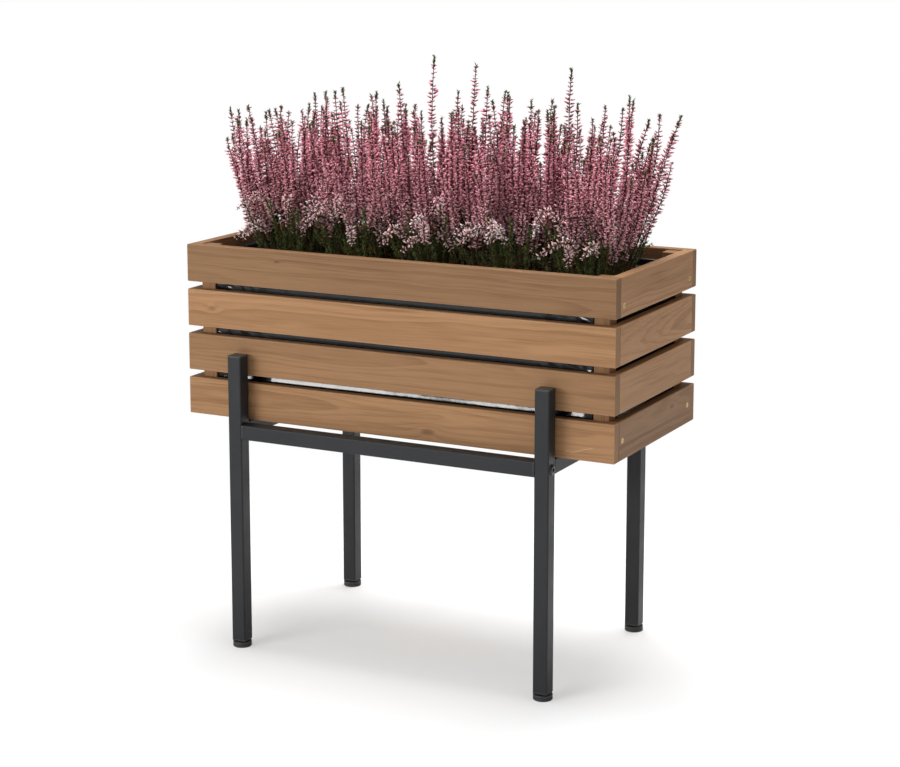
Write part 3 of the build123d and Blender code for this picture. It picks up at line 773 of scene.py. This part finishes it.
def skin_of_plant(name, rough):
    """A plant surface whose colour is carried by the shape's own tint."""
    material, tree, here, shader = new_material(name, Roughness=rough, IOR=1.4)
    own = wire(tree, "Attribute", settings=[("attribute_name", "tint")])
    mottle = stretched_noise(tree, here, (420.0, 420.0, 420.0), 2.0, 0.6)
    shade = step_between(tree, mottle, 0.25, 0.75, 0.80, 1.22, "LINEAR")
    toned = wire(tree, "HueSaturation",
                 [("Color", own.outputs["Color"]), ("Value", shade)])
    feed(tree, shader, [("Base Color", toned.outputs[0])])
    bump(tree, mottle, shader, 0.4, 0.0004)
    return material


PLANT_SKINS = (skin_of_plant("heather_buds", 0.62), skin_of_plant("heather_leaves", 0.55),
               skin_of_plant("heather_stems", 0.75))


def curved(start, lift, tip, count):
    """A stem's centre line: leaves start towards lift and ends at tip."""
    t = np.linspace(0, 1, count)[:, None]
    return (1 - t) ** 2 * start + 2 * t * (1 - t) * lift + t ** 2 * tip


def along(line, stops):
    """Points and directions on a centre line at shares of its length."""
    legs = np.diff(line, axis=0)
    lengths = np.linalg.norm(legs, axis=1)
    reach = np.concatenate([[0], np.cumsum(lengths)])
    at = np.clip(np.asarray(stops) * reach[-1], 0, reach[-1] * 0.9999)
    leg = np.clip(np.searchsorted(reach, at, "right") - 1, 0, len(legs) - 1)
    ways = legs / lengths[:, None]
    return line[leg] + ways[leg] * (at - reach[leg])[:, None], ways[leg], reach[-1]


def tube(line, radius, sides=4):
    """A tapering closed stem round a centre line."""
    ways = np.gradient(line, axis=0)
    frames = turned(ways, np.zeros(len(line)))
    angles = np.arange(sides) / sides * 2 * math.pi
    circle = np.stack([np.cos(angles), np.sin(angles), np.zeros(sides)], 1)
    taper = radius * np.linspace(1.0, 0.68, len(line))
    rings = np.einsum("nij,pj->npi", frames, circle) * taper[:, None, None] + line[:, None]
    faces = []
    for ring in range(len(line) - 1):
        for side in range(sides):
            a, b = ring * sides + side, ring * sides + (side + 1) % sides
            faces += [(a, b, b + sides), (a, b + sides, a + sides)]
    last = (len(line) - 1) * sides
    faces += [(0, side + 1, side) for side in range(1, sides - 1)]
    faces += [(last, last + side, last + side + 1) for side in range(1, sides - 1)]
    return rings.reshape(-1, 3), np.array(faces)


class Plant:
    """Collects one plant's buds (skin 0), leaves (1) and stems (2) before they become a mesh."""

    def __init__(self):
        self.points, self.faces, self.tints, self.skins = [], [], [], []
        self.count = 0

    def add(self, points, faces, tints, skin):
        self.points.append(points)
        self.faces.append(faces + self.count)
        self.tints.append(tints)
        self.skins.append(np.full(len(faces), skin))
        self.count += len(points)


def leaning(frames, rise, chance):
    """Directions out from a stem that rise to its tip by degrees: usual rise and spread."""
    rise = np.radians(chance.normal(*rise, len(frames)))[:, None]
    return frames[:, :, 0] * np.cos(rise) + frames[:, :, 2] * np.sin(rise)


def uneven_by(count, spread, least, most, chance):
    """Factors about 1 for each of count copies, held between least and most."""
    return chance.normal(1.0, spread, count).clip(least, most)


def flower(plant, line, first, last, size, whiteness, chance):
    """Whorls of buds on a stem between two shares of its length."""
    length = along(line, [0])[2]
    whorls = max(2, int((last - first) * length / (WHORL_PITCH * size)))
    share = np.repeat(np.linspace(first, last, whorls), BUDS_A_WHORL)
    share = share + chance.normal(0, 0.0007, len(share)) / length
    keep = chance.random(len(share)) > MISSING_BUDS
    share = share[keep]
    places, ways, _ = along(line, share)
    count = len(share)
    turn = (np.arange(len(keep)) * 2 * math.pi / BUDS_A_WHORL)[keep]
    turn = turn + np.repeat(np.arange(whorls) * WHORL_TURN, BUDS_A_WHORL)[keep]
    turn = turn + chance.normal(0, 0.25, count)
    aim = leaning(turned(ways, turn), BUD_RISE, chance)
    near_tip = np.clip((last - share) / 0.09, 0.62, 1.0)
    scale = size * near_tip * uneven_by(count, 0.13, 0.6, 1.35, chance)
    stretch = np.stack([scale, scale, scale * uneven_by(count, 0.12, 0.7, 1.3, chance)], 1)
    points, faces = copies(bud_points, bud_faces, places + aim * BUD_STANDOFF,
                           turned(aim, turn * 3.1), stretch)
    height = np.clip((places[:, 2] - soil_high.z) / FLOWER_HEIGHT, 0, 1)
    white = whiteness + 0.95 - 2.6 * height + chance.normal(0, 0.16, count)
    white = np.clip(white, 0, 1)[:, None]
    high = np.clip(1.9 * height - 0.75 + chance.normal(0, 0.16, count), 0, 1)[:, None]
    body = BUD_MIDDLE * (1 - high) + BUD_HIGH * high
    body = body * (1 - white) + BUD_LOW * white
    body = body * np.clip(chance.normal(1.0, 0.16), 0.6, 1.2)
    body = (body * chance.normal(1.0, 0.13, (count, 1))).clip(0.02, 0.97)
    lengthwise = np.clip(bud_points[:, 2] / BUD_LENGTH, 0, 1)
    # The dark foot is a darker calyx and painted shade between the buds.
    foot = np.clip(1.6 - lengthwise / 0.30, 0, 1)[None, :, None]
    tints = body[:, None, :] * (1 - foot) + BUD_FOOT_CALYX_AND_SHADE * foot
    plant.add(points, faces, tints.reshape(-1, 3), 0)


def leaf_up(plant, line, first, last, pitch, size, fresh, chance):
    """Scale leaves scattered up a stem, three to a pitch, that lean towards its tip."""
    length = along(line, [0])[2]
    count = max(2, int((last - first) * length / pitch)) * 3
    share = np.sort(chance.uniform(first, last, count))
    places, ways, _ = along(line, share)
    turn = chance.uniform(0, 2 * math.pi, count)
    aim = leaning(turned(ways, turn), LEAF_RISE, chance)
    scale = size * uneven_by(count, 0.2, 0.5, 1.6, chance)
    points, faces = copies(leaf_points, leaf_faces, places, turned(aim, turn), scale)
    mix = np.clip(fresh + chance.normal(0, 0.22, count), 0, 1)[:, None]
    tint = LEAF_DARK * (1 - mix) + LEAF_FRESH * mix
    tint = tint * uneven_by((count, 1), 0.15, 0.6, 1.4, chance)
    tint = np.where((chance.random(count) < RUSTY_LEAVES)[:, None], RUST, tint)
    plant.add(points, faces, np.repeat(tint, len(leaf_points), 0), 1)


def stem(plant, line, radius):
    """A brown stem on a centre line, redder towards its tip."""
    points, faces = tube(line, radius)
    share = np.repeat(np.linspace(0, 1, len(line)), len(points) // len(line))[:, None]
    plant.add(points, faces, STEM_LOW * (1 - share) + STEM_HIGH * share, 2)


# Leaders stand above the rest: place across and through the plant (-1 to 1) and height share.
LEADERS = {
    1: ((-1.1, 0.05, 0.69), (-0.92, -0.3, 0.715), (-0.56, 0.2, 0.69), (-0.12, -0.1, 0.71),
        (0.6, 0.3, 0.79), (0.85, -0.25, 0.68)),
    2: ((-0.7, 0.1, 0.8), (-0.25, -0.2, 0.76), (0.05, 0.35, 0.8), (0.5, -0.1, 0.74),
        (0.86, 0.2, 0.7)),
    3: ((-0.9, -0.1, 0.86), (-0.28, 0.15, 0.985), (0.16, 0.3, 0.82), (0.52, -0.2, 0.74),
        (0.96, 0.2, 0.85)),
    4: ((-0.6, 0.25, 0.83), (-0.2, -0.15, 0.84), (0.1, 0.1, 0.8), (0.5, 0.2, 0.74),
        (0.9, -0.25, 0.79)),
    5: ((-0.82, 0.2, 0.945), (-0.48, -0.1, 0.8), (0.3, 0.2, 0.83), (0.78, 0.05, 0.735),
        (1.3, 0.15, 0.755)),
}
STEMS_A_PLANT, SKIRTS_A_PLANT, LEAFY_A_PLANT = 56, 15, 62
STEM_FEET, TWIG_TIPS = (-0.238, 0.252), (-0.258, 0.274)
SKIRT_TIPS, SHOOT_TIPS = (-0.262, 0.272), (-0.245, 0.262)


def held(x, limits):
    """Keep a place along the box between two limits, clear of its ends."""
    return min(max(x, limits[0]), limits[1])


for number in range(1, 6):
    plant, foliage = Plant(), Plant()
    chance = np.random.default_rng(500 + number)
    low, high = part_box(f"heather_{number}")
    crown = (low + high) / 2
    half_x, half_y, tall = (high.x - low.x) / 2, (high.y - low.y) / 2, high.z - low.z
    root = np.array([crown.x * 0.93, 0.0, soil_high.z - 0.004])
    tips = [(across, through, share, 1.10) for across, through, share in LEADERS[number]]
    for _ in range(STEMS_A_PLANT - len(tips)):
        across, through = chance.uniform(-0.98, 0.98), chance.uniform(-0.74, 0.74)
        outer = max(abs(through), abs((crown.x + across * half_x) / cad_box[1].x))
        tips.append((across, through, chance.normal(0.660, 0.080) - 0.12 * outer ** 4, 1.0))
    for across, through, share, size in tips:
        tip = np.array([crown.x + across * half_x, through * half_y * 0.80,
                        soil_high.z + share * tall])
        start = root + [across * half_x * 0.80, through * half_y * 0.45, 0]
        start[0] = held(start[0], STEM_FEET)
        lift = start + (tip - start) * [0.66, 0.66, 0.42]
        lift += np.append(chance.normal(0, 0.006, 2), 0)
        line = curved(start, lift, tip, 16)
        sway = np.sin(np.linspace(0, 2.0 * math.pi, 16))[:, None]
        line[:, :2] += chance.normal(0, 0.0024, 2) * sway
        stem(plant, line, STEM_RADIUS * 1.15)
        green = 0.045 if size > 1 or chance.random() < 0.35 else 0.014
        flower(plant, line, chance.uniform(0.22, 0.36), 1.0 - green, size, 0.0, chance)
        leaf_up(plant, line, 0.03, 0.34, 0.0034, 1.1, 0.35, chance)
        leaf_up(plant, line, 0.985 - green, 1.0, 0.0010, 1.15, 0.20, chance)
        for _ in range(chance.integers(1, 4)):
            fork = chance.uniform(0.24, 0.58)
            at = along(line, [fork])[0]
            lean = chance.normal(0, 0.34, 2)
            reach = chance.uniform(0.028, 0.070) * (1.15 - fork) / 0.8
            end = at[0] + np.array([lean[0], lean[1], 1.0]) * reach
            end[0] = held(end[0], TWIG_TIPS)
            out = np.array([lean[0] * 1.5, lean[1] * 1.5, 0.55]) * reach * 0.6
            twig = curved(at[0], at[0] + out, end, 6)
            stem(plant, twig, STEM_RADIUS * 0.7)
            flower(plant, twig, 0.22, 0.97, 0.92, 0.12, chance)
            leaf_up(plant, twig, 0.95, 1.0, 0.0016, 0.8, 0.5, chance)
    for _ in range(SKIRTS_A_PLANT):
        heading = chance.uniform(0, 2 * math.pi)
        through = math.sin(heading)
        through = math.copysign(abs(through) ** 0.7, through)
        out = np.array([math.cos(heading) * half_x * 0.98, through * half_y * 0.80])
        out[0] = held(root[0] + out[0], SKIRT_TIPS) - root[0]
        rise = chance.uniform(0.026, 0.080)
        start = root + np.append(out * 0.30, 0)
        tip = np.array([root[0] + out[0], out[1], soil_high.z + rise])
        lift = np.array([root[0] + out[0] * 0.55 + chance.normal(0, 0.016), out[1] * 0.70,
                         soil_high.z + rise * 1.4 + 0.034])
        line = curved(start, lift, tip, 9)
        stem(foliage, line, STEM_RADIUS * 0.85)
        flower(foliage, line, 0.46, 0.97, 1.04, 0.66, chance)
        leaf_up(foliage, line, 0.06, 0.60, 0.0026, 1.15, 0.5, chance)
    for _ in range(LEAFY_A_PLANT):
        out = np.array([chance.uniform(-1, 1) * half_x * 0.96,
                        chance.uniform(-0.66, 0.66) * half_y])
        out[0] = held(root[0] + out[0], SHOOT_TIPS) - root[0]
        start = root + np.append(out * 0.62, 0)
        tip = np.array([root[0] + out[0], out[1], soil_high.z + chance.uniform(0.025, 0.085)])
        lift = np.append((start[:2] + tip[:2]) / 2, start[2] + (tip[2] - start[2]) * 0.7)
        line = curved(start, lift, tip, 7)
        stem(foliage, line, STEM_RADIUS * 0.8)
        leaf_up(foliage, line, 0.05, 1.0, 0.0020, 1.3, 0.30, chance)
    for name, gathered in (("flowers", plant), ("foliage", foliage)):
        heather = new_piece(f"heather_{name}_{number}", np.concatenate(gathered.points),
                            np.concatenate(gathered.faces).tolist())
        mesh = heather.data
        tint = mesh.attributes.new("tint", "FLOAT_COLOR", "POINT")
        tints = np.column_stack([np.concatenate(gathered.tints), np.ones(gathered.count)])
        tint.data.foreach_set("color", tints.astype(np.float32).ravel())
        for skin in PLANT_SKINS:
            mesh.materials.append(skin)
        mesh.polygons.foreach_set("material_index", np.concatenate(gathered.skins).astype(np.int32))
        mesh.polygons.foreach_set("use_smooth", np.ones(len(mesh.polygons), bool))
        mesh.update()
        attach(heather, "planting")
        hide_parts(f"heather_{number}")


# ---------------------------------------------------------------- studio
# The planter stands on white paper in an even white room. A large soft light hangs above
# it, a second stands at the front left, and a weak third fills in from the right.
# To the camera the paper also glows: a painted light that lifts the shadow under the planter.

PAPER_WHITE = (0.885, 0.892, 0.905, 1)
WHITE = (1, 1, 1, 1)
BRIGHTER_TOWARDS = (-0.45, -0.80, 0.40)
LOOKS_DOWN, TURNED_LEFT = 10.009, 27.129

bpy.ops.mesh.primitive_plane_add(size=2, location=(0, 0, 0))
sweep = bpy.context.active_object
sweep.name = "paper_sweep"
bpy.ops.object.mode_set(mode="EDIT")
bpy.ops.transform.resize(value=(14, 14, 1))
bpy.ops.object.mode_set(mode="OBJECT")
paper, tree, here, shader = new_material("white_paper", Base_Color=PAPER_WHITE, Roughness=0.9)
# Seen by the camera the paper glows: painted light that lifts the shadow near the planter and,
# further away, paints the paper pure white.
eye = wire(tree, "LightPath").outputs["Is Camera Ray"]
painted_glow = wire(tree, "Emission", Color=WHITE, Strength=1.0)
painted_glow_share = step_between(tree, vector_maths(tree, "LENGTH", here), 0.34, 0.98, 0.35, 1.0)
lifted = wire(tree, "MixShader",
              [(0, maths(tree, "MULTIPLY", eye, painted_glow_share)), (1, shader.outputs[0]),
               (2, painted_glow.outputs[0])])
feed(tree, tree.nodes["Material Output"], [("Surface", lifted.outputs[0])])
sweep.data.materials.append(paper)

room = bpy.data.worlds.new("white_room")
room.use_nodes = True
air = room.node_tree
air.nodes.clear()
seen = wire(air, "Background", Color=WHITE, Strength=1.0)
outlook = wire(air, "TexCoord").outputs["Generated"]
facing = vector_maths(air, "DOT_PRODUCT", outlook, BRIGHTER_TOWARDS)
lit = wire(air, "Background",
           [("Strength", maths(air, "MULTIPLY_ADD", facing, 0.16, 0.46))],
           Color=(1.0, 0.995, 0.99, 1))
ray = wire(air, "LightPath").outputs["Is Camera Ray"]
either = wire(air, "MixShader", [(0, ray), (1, lit.outputs[0]), (2, seen.outputs[0])])
wire(air, "OutputWorld", [("Surface", either.outputs[0])])
bpy.context.scene.world = room


def soft_light(name, aim, azimuth, elevation, distance, width, height, power, colour):
    """A flat light that faces a point from an azimuth and elevation in degrees."""
    a, e = math.radians(azimuth), math.radians(elevation)
    away = Vector((math.cos(e) * math.sin(a), -math.cos(e) * math.cos(a), math.sin(e)))
    lamp = bpy.data.lights.new(name, "AREA")
    lamp.shape = "RECTANGLE"
    lamp.size = width
    lamp.size_y = height
    lamp.energy = power
    lamp.color = colour
    holder = bpy.data.objects.new(name, lamp)
    holder.location = Vector(aim) + away * distance
    holder.rotation_euler = away.to_track_quat("Z", "Y").to_euler()
    bpy.context.scene.collection.objects.link(holder)


aim = (cad_box[0] + cad_box[1]) / 2
soft_light("top_light", aim, -176, 77, 2.6, 2.0, 2.0, 112, (1.0, 0.99, 0.98))
soft_light("front_light", aim, -26, 12, 3.4, 1.6, 0.42, 56, (1.0, 0.985, 0.965))
soft_light("fill_light", aim, 78, 30, 3.6, 1.6, 1.6, 2.5, (1.0, 0.97, 0.93))

lens = bpy.data.cameras.new("camera")
lens.sensor_width = 36
lens.lens = 87.05
lens.shift_y = -0.10
camera = bpy.data.objects.new("camera", lens)
camera.location = (1.3090, -2.5256, 0.9787)
camera.rotation_euler = (math.radians(90 - LOOKS_DOWN), 0, math.radians(TURNED_LEFT))
bpy.context.scene.collection.objects.link(camera)
bpy.context.scene.camera = camera
bpy.context.scene.view_settings.view_transform = "Standard"

bpy.ops.object.select_all(action="DESELECT")
